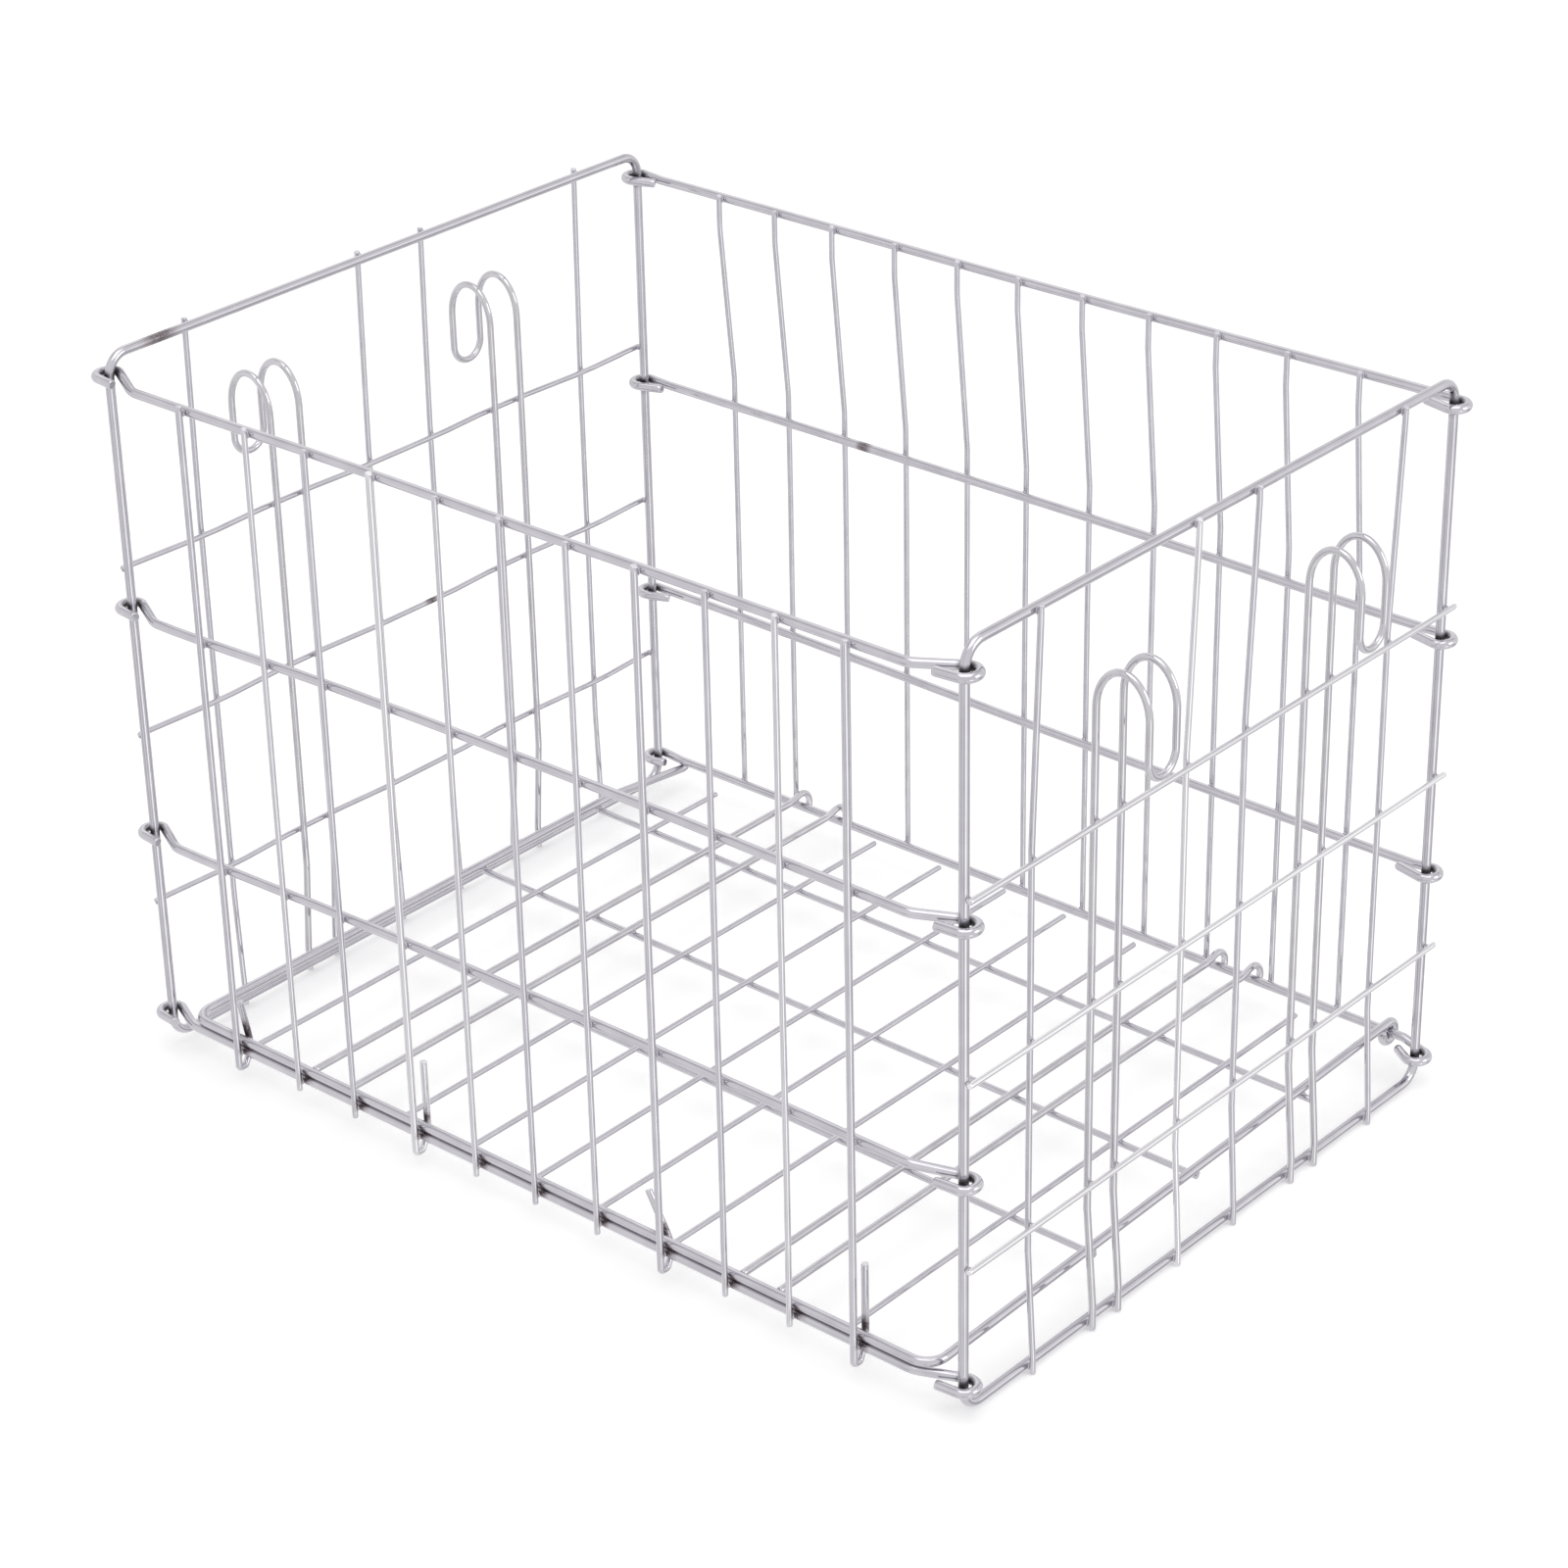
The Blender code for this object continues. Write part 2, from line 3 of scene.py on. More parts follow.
import bmesh
import bpy
from mathutils import Matrix, Vector, kdtree, noise
from mathutils.geometry import intersect_line_line


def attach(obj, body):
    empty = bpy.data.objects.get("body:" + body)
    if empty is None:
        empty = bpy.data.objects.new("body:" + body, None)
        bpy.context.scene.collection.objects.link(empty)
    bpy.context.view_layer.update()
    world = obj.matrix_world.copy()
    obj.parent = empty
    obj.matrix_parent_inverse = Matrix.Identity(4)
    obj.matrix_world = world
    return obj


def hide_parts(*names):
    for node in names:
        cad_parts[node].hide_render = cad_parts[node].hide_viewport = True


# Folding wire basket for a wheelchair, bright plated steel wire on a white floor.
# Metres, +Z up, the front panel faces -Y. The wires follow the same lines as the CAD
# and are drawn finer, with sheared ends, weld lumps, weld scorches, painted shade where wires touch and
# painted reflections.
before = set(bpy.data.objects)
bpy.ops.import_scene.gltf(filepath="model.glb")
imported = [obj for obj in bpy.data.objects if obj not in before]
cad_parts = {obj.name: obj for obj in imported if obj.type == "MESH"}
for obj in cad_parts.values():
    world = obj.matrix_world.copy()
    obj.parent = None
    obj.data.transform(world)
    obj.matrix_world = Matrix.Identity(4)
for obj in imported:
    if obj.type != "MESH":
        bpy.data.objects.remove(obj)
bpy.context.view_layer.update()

wire = {"frame": 0.0040, "upright": 0.0025, "hook": 0.0030, "latch": 0.0030,
        "floorHook": 0.0032, "floorCross": 0.0029, "gap": 0.0003}
draw = {"step": 0.0025, "arcStep": 7.5, "runSteps": 8, "thickSides": 20, "thinSides": 16,
        "thickFrom": 0.0014, "drift": 0.00012, "driftScale": 14, "driftSeed": 5, "grainShift": 0.731}
noise.seed_set(draw["driftSeed"])  # the wires drift alike in every run
# A sheared end is tilted and drawn in. Widths are shares of the radius, left at the tip and
# at the burr; the burr and the full width lie so many radii in from the tip.
cutEnd = {"shears": (-0.12, 0.16), "tip": 0.80, "burr": 0.93, "burrAt": 0.10, "fullAt": 0.38}

posts = {"spacingX": 0.430, "spacingY": 0.305, "frontLeftShift": 0.0061}
halfX, halfY = posts["spacingX"] / 2, posts["spacingY"] / 2

xAxis, yAxis, zAxis = Vector((1, 0, 0)), Vector((0, 1, 0)), Vector((0, 0, 1))
wires = []  # every drawn length of wire, for the welds and contact marks
# wires mixed toward near-white as a painted reflection, and how far each one goes
paintedSheenWires = {"front_upright_2": 0.20, "front_upright_5": 0.20, "front_upright_7": 0.10,
             "front_upright_10": 0.30, "front_upright_4": 0.45, "front_upright_8": 0.10,
             "front_upright_11": 0.10, "right_crosswire_1": 0.45, "right_crosswire_2": 0.80,
             "right_crosswire_3": 0.65, "right_upright_2": 0.50}


def arcPoints(center, radius, first, second, start, stop):
    # angles in degrees from the first direction to the second
    count = max(3, math.ceil(abs(stop - start) / draw["arcStep"]))
    points = []
    for index in range(count + 1):
        angle = math.radians(start + (stop - start) * index / count)
        points.append(center + radius * (math.cos(angle) * first + math.sin(angle) * second))
    return points


def roundCorners(points, bend, closed=False):
    result = []
    for index, corner in enumerate(points):
        if not closed and index in (0, len(points) - 1):
            result.append(corner.copy())
            continue
        entry = (points[index - 1] - corner).normalized()
        leave = (points[(index + 1) % len(points)] - corner).normalized()
        half = entry.angle(leave) / 2
        middle = corner + (entry + leave).normalized() * bend / math.sin(half)
        start = corner + entry * bend / math.tan(half) - middle
        stop = corner + leave * bend / math.tan(half) - middle
        turn = math.pi - 2 * half
        steps = max(3, math.ceil(math.degrees(turn) / draw["arcStep"]))
        for step in range(steps + 1):
            share = step / steps
            first = start * math.sin((1 - share) * turn)
            last = stop * math.sin(share * turn)
            result.append(middle + (first + last) / math.sin(turn))
    return result


def slope(points, low, high):
    # spread a change of height evenly along a flat path
    lengths = [0.0]
    for before, after in zip(points, points[1:]):
        lengths.append(lengths[-1] + (after - before).length)
    return [Vector((point.x, point.y, low + (high - low) * length / lengths[-1]))
            for point, length in zip(points, lengths)]


def evenPath(points, closed):
    # no stretch longer than a step, and each wire drifts a little as real wire does
    ring = list(points) + [points[0]] if closed else list(points)
    result = [ring[0].copy()]
    for before, after in zip(ring, ring[1:]):
        length = (after - before).length
        if length < 1e-6:
            continue
        count = max(1, math.ceil(length / draw["step"]))
        for index in range(1, count + 1):
            result.append(before.lerp(after, index / count))
    if closed:
        result.pop()
    return [point + noise.noise_vector(point * draw["driftScale"]) * draw["drift"]
            for point in result]


def sweepWire(shell, path, radius, closed, order):
    points = evenPath(path, closed)
    count = len(points)
    sides = draw["thickSides"] if radius > draw["thickFrom"] else draw["thinSides"]
    coordLayer = shell.verts.layers.float_vector["wireCoord"]
    tangents = []
    for index, point in enumerate(points):
        tangent = Vector()
        if closed or index:
            tangent += (point - points[index - 1]).normalized()
        if closed or index < count - 1:
            tangent += (points[(index + 1) % count] - point).normalized()
        tangents.append(tangent.normalized())
    # (place, tangent, scale, tilt) of each ring
    stations = [(points[index], tangents[index], 1.0, 0.0) for index in range(count)]
    if not closed:
        shear = cutEnd["shears"][order % 2]
        rims = [(0, cutEnd["tip"], shear), (cutEnd["burrAt"], cutEnd["burr"], shear),
                (cutEnd["fullAt"], 1.0, shear / 2)]
        head = [(points[0] + tangents[0] * radius * inward, tangents[0], scale, tilt)
                for inward, scale, tilt in rims]
        tail = [(points[-1] - tangents[-1] * radius * inward, tangents[-1], scale, -tilt)
                for inward, scale, tilt in reversed(rims)]
        stations = head + stations[1:-1] + tail
    rings, length, normal = [], 0.0, None
    for index, (place, tangent, scale, tilt) in enumerate(stations):
        if index:
            length += (place - stations[index - 1][0]).length
        normal = tangent.orthogonal() if normal is None else normal
        normal = (normal - tangent * normal.dot(tangent)).normalized()
        side = tangent.cross(normal)
        ring = []
        for step in range(sides):
            angle = 2 * math.pi * (step + 0.5) / sides
            across, up = math.cos(angle), math.sin(angle)
            spot = place + radius * scale * (across * normal + up * side) + tangent * tilt * radius * up
            vert = shell.verts.new(spot)
            vert[coordLayer] = Vector((across * radius, up * radius, length + order * draw["grainShift"]))
            ring.append(vert)
        rings.append(ring)
    pairs = list(zip(rings, rings[1:]))
    if closed:
        # carry the twist of the last ring back to the first one
        shift = min(range(sides), key=lambda turn: (rings[-1][turn].co - rings[0][0].co).length)
        rings.append(rings[0][-shift:] + rings[0][:-shift] if shift else rings[0])
        pairs.append((rings[-2], rings[-1]))
    else:
        shell.faces.new(reversed(rings[0]))
        shell.faces.new(rings[-1])
    for ring, following in pairs:
        for step in range(sides):
            other = (step + 1) % sides
            face = shell.faces.new((ring[step], ring[other], following[other], following[step]))
            face.smooth = True
    return points


def newShell():
    # an empty mesh with the values that the finish of the wires reads
    shell = bmesh.new()
    shell.verts.layers.float_vector.new("wireCoord")
    for name in ("contactShade", "burn", "pale"):
        shell.verts.layers.float.new(name)
    return shell


def placeShell(name, shell):
    mesh = bpy.data.meshes.new(name)
    shell.to_mesh(mesh)
    shell.free()
    piece = bpy.data.objects.new(name, mesh)
    bpy.context.scene.collection.objects.link(piece)
    return piece


def drawPiece(node, body, slotName, paths, thickness, place=Vector(), closed=False):
    shell = newShell()
    drawn = []
    for path in paths:
        moved = [point + place for point in path]
        order = len(wires) + len(drawn)
        drawn.append(sweepWire(shell, moved, thickness / 2, closed, order))
    # how much painted reflection each wire gets
    paintedSheenLayer = shell.verts.layers.float["pale"]
    for vert in shell.verts:
        vert[paintedSheenLayer] = paintedSheenWires.get(node, 0.0)
    bmesh.ops.recalc_face_normals(shell, faces=shell.faces)
    piece = placeShell(node + "Wire", shell)
    for points in drawn:
        wires.append({"piece": piece, "body": body, "slot": slotName, "points": points,
                      "radius": thickness / 2, "closed": closed})
    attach(piece, body)
    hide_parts(node)
    return piece


# Each rail: height of its left eyelet, of five even places along its run and of its
# right eyelet. The wires are bowed and twisted a little.
bottomRail = 0.0152
rails = {"offset": 0.0058, "eyelet": 0.0048, "shift": 0.0006, "tilt": 0.0003, "bend": 0.010,
         "reach": 0.190}
frontRail = {
    "leftTail": 0.0086, "rightTail": 0.0096, "leftSlant": 20, "rightSlant": 29,
    "heights": ((0.3115, (0.3075, 0.3083, 0.3082, 0.3085, 0.3084), 0.3087),
                (0.2098, (0.2063, 0.2096, 0.2110, 0.2112, 0.2106), 0.2096),
                (0.1055, (0.1018, 0.1047, 0.1062, 0.1067, 0.1060), 0.1028),
                (0.0178, (bottomRail,) * 5, 0.0134))}
backRail = {
    "leftTails": (0.0105, 0.0105, 0.0105, 0.0055), "leftTurn": 26, "knee": 0.0100,
    "rightTails": (0.0115, 0.0115, 0.0120, 0.0085), "rightTurns": (19, 19, 19, 38),
    "heights": ((0.3084, (0.3074, 0.3070, 0.3067, 0.3070, 0.3075), 0.3076),
                (0.2096, (0.2088, 0.2086, 0.2086, 0.2079, 0.2064), 0.2068),
                (0.1040, (0.1035, 0.1025, 0.1006, 0.0995, 0.0989), 0.1004),
                (0.0166, (bottomRail,) * 5, 0.0125))}
railLine = halfY + rails["offset"]
eyeletX = halfX + rails["shift"]
outerLine = railLine + (wire["frame"] + wire["upright"]) / 2 + wire["gap"]
innerLine = railLine - (wire["frame"] + wire["upright"]) / 2 - wire["gap"]


def bowedRun(line, heights):
    # a smooth run through five even places of the rail
    points, last = [], len(heights) - 1
    for index in range(last):
        near = [heights[min(max(index + shift, 0), last)] for shift in (-1, 0, 1, 2)]
        rise = (near[2] - near[0]) / 2
        fall = (near[3] - near[1]) / 2
        turn = near[1] - near[2]
        for step in range(draw["runSteps"]):
            share = step / draw["runSteps"]
            height = ((2 * turn + rise + fall) * share - 3 * turn - 2 * rise - fall) * share * share
            across = rails["reach"] * (2 * (index + share) / last - 1)
            points.append(Vector((across, line, height + rise * share + near[1])))
    return points + [Vector((rails["reach"], line, heights[-1]))]


def eyelet(corner, start, stop, height, tail, tailFirst):
    # a loop round a post with a straight tail on its cut end
    loop = arcPoints(corner, rails["eyelet"], xAxis, yAxis, start, stop)
    low, high = height - rails["tilt"], height + rails["tilt"]
    if tailFirst:
        return slope([loop[0] + (loop[0] - loop[1]).normalized() * tail] + loop, low, high)
    return slope(loop + [loop[-1] + (loop[-1] - loop[-2]).normalized() * tail], high, low)


def frontRailPath(left, run, right):
    leftSlant, rightSlant = frontRail["leftSlant"], frontRail["rightSlant"]
    leftEye = eyelet(Vector((-eyeletX, -halfY - posts["frontLeftShift"], 0)), 270, 90 - leftSlant,
                     left, frontRail["leftTail"], True)
    rightEye = eyelet(Vector((eyeletX, -halfY, 0)), 90 + rightSlant, -90, right,
                      frontRail["rightTail"], False)
    stations = bowedRun(-railLine, run)
    leftRun = (railLine + leftEye[-1].y) / math.tan(math.radians(leftSlant))
    rightRun = (railLine + rightEye[0].y) / math.tan(math.radians(rightSlant))
    leftKnee = Vector((leftEye[-1].x + leftRun, -railLine, stations[0].z))
    rightKnee = Vector((rightEye[0].x - rightRun, -railLine, stations[-1].z))
    return (leftEye[:-1] + roundCorners([leftEye[-1], leftKnee, stations[0]], rails["bend"])[:-1]
            + stations + roundCorners([stations[-1], rightKnee, rightEye[0]], rails["bend"])[1:]
            + rightEye[1:])


def backRailPath(left, run, right, leftTail, rightTail, rightTurn):
    # passes straight behind both posts before it turns round them
    leftEye = eyelet(Vector((-eyeletX, halfY, 0)), 270 + backRail["leftTurn"], 90, left,
                     leftTail, True)
    rightEye = eyelet(Vector((eyeletX, halfY, 0)), 90, -90 - rightTurn, right, rightTail, False)
    stations = bowedRun(railLine, run)
    leftKnee = Vector((backRail["knee"] - eyeletX, railLine, stations[0].z))
    rightKnee = Vector((eyeletX - backRail["knee"], railLine, stations[-1].z))
    return leftEye + [leftKnee] + stations + [rightKnee] + rightEye


backEnds = zip(backRail["leftTails"], backRail["rightTails"], backRail["rightTurns"])
for number, (heights, ends) in enumerate(zip(backRail["heights"], backEnds), 1):
    drawPiece(f"back_rail_{number}", "back_panel", "frame_wire", [backRailPath(*heights, *ends)],
              wire["frame"])
for number, heights in enumerate(frontRail["heights"], 1):
    drawPiece(f"front_rail_{number}", "front_panel", "frame_wire", [frontRailPath(*heights)],
              wire["frame"])
print("rails drawn")


backUpright = {
    "overshoot": 0.0008, "footDrop": 0.0027, "slantTop": 0.2945, "slantFoot": 0.2210, "bend": 0.012,
    "places": (-0.1679, -0.1356, -0.1028, -0.0677, -0.0333, -0.0008,
               0.0330, 0.0670, 0.1009, 0.1352, 0.1698)}
frontUpright = {
    "overshoot": 0.0008, "footDrop": 0.0040,
    "places": (-0.1703, -0.1330, -0.0996, -0.0639, -0.0293, 0.0038,
               0.0375, 0.0716, 0.1051, 0.1378, 0.1699)}
# each latch by the number of its upright: (height, lean) of its tip, and how far the dark spot behind it
# reaches
latch = {
    "depth": 0.0094, "fold": 0.0036, "bend": 0.0017, "bottom": 0.0078, "knee": 0.0135, "skew": 0.0020,
    "tips": {1: (0.0340, 0.0050), 4: (0.0470, 0.0), 8: (0.0355, 0.0120), 11: (0.0480, 0.0)},
    "darkSpots": {1: 0.0064, 4: 0.0034, 8: 0.0048, 11: 0.0044}}
frontTop = frontRail["heights"][0][1][2] + wire["frame"] / 2 + frontUpright["overshoot"]
backTop = backRail["heights"][0][1][2] + wire["frame"] / 2 + backUpright["overshoot"]


def backUprightPath():
    corners = [(outerLine, bottomRail - backUpright["footDrop"]), (outerLine, backUpright["slantFoot"]),
               (innerLine, backUpright["slantTop"]), (innerLine, backTop)]
    return roundCorners([Vector((0, y, z)) for y, z in corners], backUpright["bend"])


def frontUprightPath():
    foot = bottomRail - frontUpright["footDrop"]
    return [Vector((0, -outerLine, foot)), Vector((0, -outerLine, frontTop))]


def latchPath(tipHeight, lean):
    # folded tightly under the bottom rail, and rises again behind it
    line = railLine + (wire["frame"] + wire["latch"]) / 2 + wire["gap"]
    corners = [(0, 0, frontTop), (0, 0, latch["bottom"]), (0, latch["fold"], latch["bottom"]),
               (-latch["skew"], latch["depth"], latch["knee"]),
               (-latch["skew"] - lean, latch["depth"], tipHeight)]
    return roundCorners([Vector((x, y - line, z)) for x, y, z in corners], latch["bend"])


for number, across in enumerate(backUpright["places"], 1):
    drawPiece(f"back_upright_{number}", "back_panel", "thin_wire", [backUprightPath()], wire["upright"],
              xAxis * across)
for number, across in enumerate(frontUpright["places"], 1):
    if number in latch["tips"]:
        drawPiece(f"front_upright_{number}", "front_panel", "latch_wire",
                  [latchPath(*latch["tips"][number])], wire["latch"], xAxis * across)
    else:
        drawPiece(f"front_upright_{number}", "front_panel", "thin_wire", [frontUprightPath()],
                  wire["upright"], xAxis * across)
print("uprights drawn")


endFrame = {
    "left": {"outward": -1, "frontPost": -halfY - posts["frontLeftShift"], "bottom": 0.0058,
             "top": 0.3196, "uprights": (-0.1145, -0.0173, 0.0199, 0.1154),
             "crosswires": (0.2264, 0.1501, 0.0710), "hooks": (-0.0673, 0.0640),
             "frontStub": 0.0005, "backStub": 0.0005, "wave": 0.0014},
    "right": {"outward": 1, "frontPost": -halfY, "bottom": 0.0024,
              "top": 0.3185, "uprights": (-0.1150, -0.0217, 0.0159, 0.1121),
              "crosswires": (0.2209, 0.1456, 0.0659), "hooks": (-0.0697, 0.0639),
              "frontStub": 0.0015, "backStub": 0.0040, "wave": 0.0},
    "bend": 0.009, "uprightBend": 0.012, "overshoot": 0.0004}
endOuter = halfX + (wire["frame"] + wire["upright"]) / 2 + wire["gap"]

hook = {"legSpacing": 0.0165, "top": 0.2832, "reach": 0.0235, "arch": 0.0165, "tipDrop": 0.0402,
        "footHeight": 0.011, "bendHeight": 0.054, "legBend": 0.014}


def endFramePath(end):
    corners = [(end["frontPost"], end["bottom"]), (halfY, end["bottom"]),
               (halfY, end["top"]), (end["frontPost"], end["top"])]
    return roundCorners([Vector((0, y, z)) for y, z in corners], endFrame["bend"], closed=True)


def endUprightPath(end):
    # welded outside the frame and bowed between its wires: out past crosswires that wave in,
    # or else in behind straight ones
    pitch = wire["upright"] + wire["gap"]
    bow = pitch - end["wave"] if end["wave"] else -pitch
    rail, bowed = end["outward"] * endOuter, end["outward"] * (endOuter + bow)
    corners = [(rail, 0.0), (rail, end["bottom"] + wire["frame"]), (bowed, hook["bendHeight"]),
               (bowed, end["crosswires"][0] + wire["frame"]), (rail, end["top"] - wire["frame"]),
               (rail, end["top"] + wire["frame"] / 2 + endFrame["overshoot"])]
    return roundCorners([Vector((x, 0, z)) for x, z in corners], endFrame["uprightBend"])


def crosswirePath(end):
    # outside the posts and hook legs; one that waves dips in where the uprights cross it
    line, dip = end["outward"] * endOuter, end["outward"] * (endOuter - end["wave"])
    stations = [(end["frontPost"] - end["frontStub"], line), (halfY + end["backStub"], line)]
    if end["wave"]:
        reach = wire["frame"] + wire["upright"]
        leg = hook["legSpacing"] / 2 + reach
        stations += [(end["frontPost"] + reach, line), (halfY - reach, line)]
        for place in end["uprights"]:
            stations += [(place - reach, dip), (place + reach, dip)]
        for place in end["hooks"]:
            stations += [(place - leg, line), (place + leg, line)]
    return [Vector((x, y, 0)) for y, x in sorted(stations)]


def hookPath(outward):
    # both legs and the returned tip are one wire
    pitch = (wire["upright"] + wire["hook"]) / 2 + wire["gap"]
    legX, footX = endOuter - pitch, halfX + (wire["frame"] + wire["hook"]) / 2 + wire["gap"]
    half, radius = hook["legSpacing"] / 2, hook["reach"] / 2
    leg = [Vector((footX, -half, 0.0)), Vector((footX, -half, hook["footHeight"])),
           Vector((legX, -half, hook["bendHeight"]))]
    archFoot = hook["top"] - hook["arch"]
    leg = roundCorners(leg + [Vector((legX, -half, archFoot))], hook["legBend"])[:-1]
    archCenter = Vector((legX + radius, -half, archFoot))
    leg += arcPoints(archCenter, radius, -xAxis, zAxis * hook["arch"] / radius, 0, 180)
    foot = Vector((legX + 2 * radius, 0, hook["top"] - hook["tipDrop"] + half))
    tip = arcPoints(foot, half, -yAxis, -zAxis, 0, 180)
    other = [Vector((point.x, -point.y, point.z)) for point in reversed(leg)]
    return [Vector((outward * point.x, point.y, point.z)) for point in leg + tip + other]


for side in ("left", "right"):
    end, body = endFrame[side], side + "_end"
    drawPiece(f"{side}_frame", body, "frame_wire", [endFramePath(end)], wire["frame"],
              xAxis * end["outward"] * halfX, closed=True)
    for number, along in enumerate(end["uprights"], 1):
        drawPiece(f"{side}_upright_{number}", body, "thin_wire", [endUprightPath(end)],
                  wire["upright"], yAxis * along)
    for number, height in enumerate(end["crosswires"], 1):
        drawPiece(f"{side}_crosswire_{number}", body, "thin_wire", [crosswirePath(end)],
                  wire["upright"], zAxis * height)
    for number, along in enumerate(end["hooks"], 1):
        drawPiece(f"{side}_hook_{number}", body, "hook_wire", [hookPath(end["outward"])],
                  wire["hook"], yAxis * along)
print("end frames drawn")


# the sides of the floor are given where they meet the front wire and the back rail
floor = {
    "frontGap": 0.0004, "frontInset": 0.0003, "left": (-0.2022, -0.2000), "right": (0.2040, 0.1978),
    "bend": 0.009, "leftHook": -0.2050, "leftDip": 0.1050, "leftWrap": 70, "slantBend": 0.02,
    "loopTurn": 285, "crossPlaces": (0.0950, 0.0186, -0.0520), "crossSkew": 0.0035,
    "crossLeft": 0.0010, "crossRight": (0.0045, 0.0010, 0.0010),
    "barPlaces": (-0.1650, -0.0756, -0.0379, -0.0013, 0.0336, 0.0730, 0.1625),
    "barBack": (0.1380, 0.1475, 0.1480, 0.1490, 0.1475, 0.1465, 0.1405), "bite": 0.0003}
floorHook = {"places": (-0.1300, -0.1076, 0.1086, 0.1273), "radius": 0.0060, "shift": 0.0005,
             "rise": 15, "wrap": 130}
floorHeight = bottomRail + wire["frame"] + floor["frontGap"]
floorFront = -railLine + floor["frontInset"]
crossHeight = floorHeight - (wire["frame"] + wire["floorCross"]) / 2 - wire["gap"]
barHeight = crossHeight + (wire["floorCross"] + wire["upright"]) / 2 - floor["bite"]
barFront = floorFront + wire["frame"] / 2 + wire["gap"]


def floorTurn(across, start, stop):
    # part of a turn round the back bottom rail, from its top towards its back
    center = Vector((across, railLine, bottomRail))
    return arcPoints(center, floorHeight - bottomRail, zAxis, yAxis, start, stop)


def floorSide(ends, depth):
    return ends[0] + (ends[1] - ends[0]) * (depth - floorFront) / (railLine - floorFront)


def floorFramePath():
    # the left side wire dips under the back rail and the right one turns over it
    under = floorTurn(floor["leftHook"], 180, 180 - floor["leftWrap"])
    over = floorTurn(floor["right"][1], 0, floor["loopTurn"])
    dip = Vector((floorSide(floor["left"], floor["leftDip"]), floor["leftDip"], floorHeight))
    corners = [dip, Vector((floor["left"][0], floorFront, floorHeight)),
               Vector((floor["right"][0], floorFront, floorHeight)), over[0]]
    slant = roundCorners([under[0], dip, corners[1]], floor["slantBend"])[:-1]
    return list(reversed(under))[:-1] + slant + roundCorners(corners, floor["bend"])[1:] + over[1:]


def floorHookPath():
    # passes over the back bottom rail and curls down behind it
    center = Vector((0, railLine + floorHook["shift"], bottomRail))
    curl = arcPoints(center, floorHook["radius"], zAxis, yAxis, -floorHook["rise"], floorHook["wrap"])
    height = crossHeight + (wire["floorCross"] + wire["floorHook"]) / 2 + wire["gap"]
    knee = curl[0].y - (curl[0].z - height) / math.tan(math.radians(floorHook["rise"]))
    corners = [Vector((0, barFront, height)), Vector((0, knee, height)), curl[0]]
    return roundCorners(corners, rails["bend"])[:-1] + curl


def floorCrossPaths():
    paths = []
    for place, extra in zip(floor["crossPlaces"], floor["crossRight"]):
        left = floorSide(floor["left"], place) - floor["crossLeft"]
        right = floorSide(floor["right"], place) + extra
        paths.append([Vector((left, place, crossHeight)),
                      Vector((right, place - floor["crossSkew"], crossHeight))])
    return paths


def floorBarPaths():
    return [[Vector((place, barFront, barHeight)), Vector((place, back, barHeight))]
            for place, back in zip(floor["barPlaces"], floor["barBack"])]


def joinInto(target, other):
    # the floor's bars and cross wires are one welded mat
    shell = bmesh.new()
    shell.from_mesh(target.data)
    shell.from_mesh(other.data)
    shell.to_mesh(target.data)
    shell.free()
    for entry in wires:
        if entry["piece"] == other:
            entry["piece"] = target
    bpy.data.objects.remove(other, do_unlink=True)


drawPiece("floor_frame", "floor", "frame_wire", [floorFramePath()], wire["frame"])
mat = drawPiece("floor_grid", "floor", "thin_wire", floorCrossPaths(), wire["floorCross"])
joinInto(mat, drawPiece("floor_grid", "floor", "thin_wire", floorBarPaths(), wire["upright"]))
for number, across in enumerate(floorHook["places"], 1):
    drawPiece(f"floor_hook_wire_{number}", "floor", "hook_wire", [floorHookPath()], wire["floorHook"],
              xAxis * across)
print("floor drawn;", len(wires), "lengths of wire")


weld = {"search": 0.0029, "near": 0.0008, "parallel": 0.9, "apart": 0.007, "farthest": 0.004,
        "spread": 0.92, "bite": 0.00042, "rough": 0.22, "lumpScale": 1.7, "placeScale": 300,
        "reach": 0.0018, "tone": 0.24}
# painted shadow inside an eyelet round its post
eyeletShade = {"search": 0.0050, "reach": 0.0030, "full": 0.0012}  # darkness between an eyelet and its post
# weld scorches, then painted shade where uprights cross the floor frame and bottom rail, and dark spots
# behind the latches
scorchShadeMarks = [  # scorches that the photo shows
    {"place": (-0.215, -0.1320, 0.3196), "reach": 0.0110, "strength": 0.75},
    {"place": (-0.2175, 0.0110, 0.1501), "reach": 0.0042, "strength": 1.0},
    {"place": (-0.088, 0.1583, 0.2082), "reach": 0.0050, "strength": 0.95},
]
# painted shade where an upright crosses the floor frame and the bottom rail, and a dark spot where a
# latch rises behind
crossShade = {"shift": 0.0022, "depth": -0.1600, "height": 0.0174, "reach": 0.0036, "strength": 0.9}
latchMark = {"lean": 0.35, "depth": -0.1545, "height": 0.0208, "strength": 1.0}
for number, across in enumerate(frontUpright["places"], 1):
    place = (across + crossShade["shift"], crossShade["depth"], crossShade["height"])
    scorchShadeMarks.append({"place": place, "reach": crossShade["reach"], "strength": crossShade["strength"]})
    if number in latch["tips"]:
        back = across - latch["skew"] - latchMark["lean"] * latch["tips"][number][1]
        scorchShadeMarks.append({"place": (back, latchMark["depth"], latchMark["height"]),
                      "reach": latch["darkSpots"][number], "strength": latchMark["strength"]})

samples = []
for index, entry in enumerate(wires):
    points = entry["points"] + entry["points"][:1] if entry["closed"] else entry["points"]
    for before, after in zip(points, points[1:]):
        for share in (0.25, 0.75):
            samples.append((before.lerp(after, share), index, (after - before).normalized()))
nearby = kdtree.KDTree(len(samples))
for index, (point, owner, direction) in enumerate(samples):
    nearby.insert(point, index)
nearby.balance()


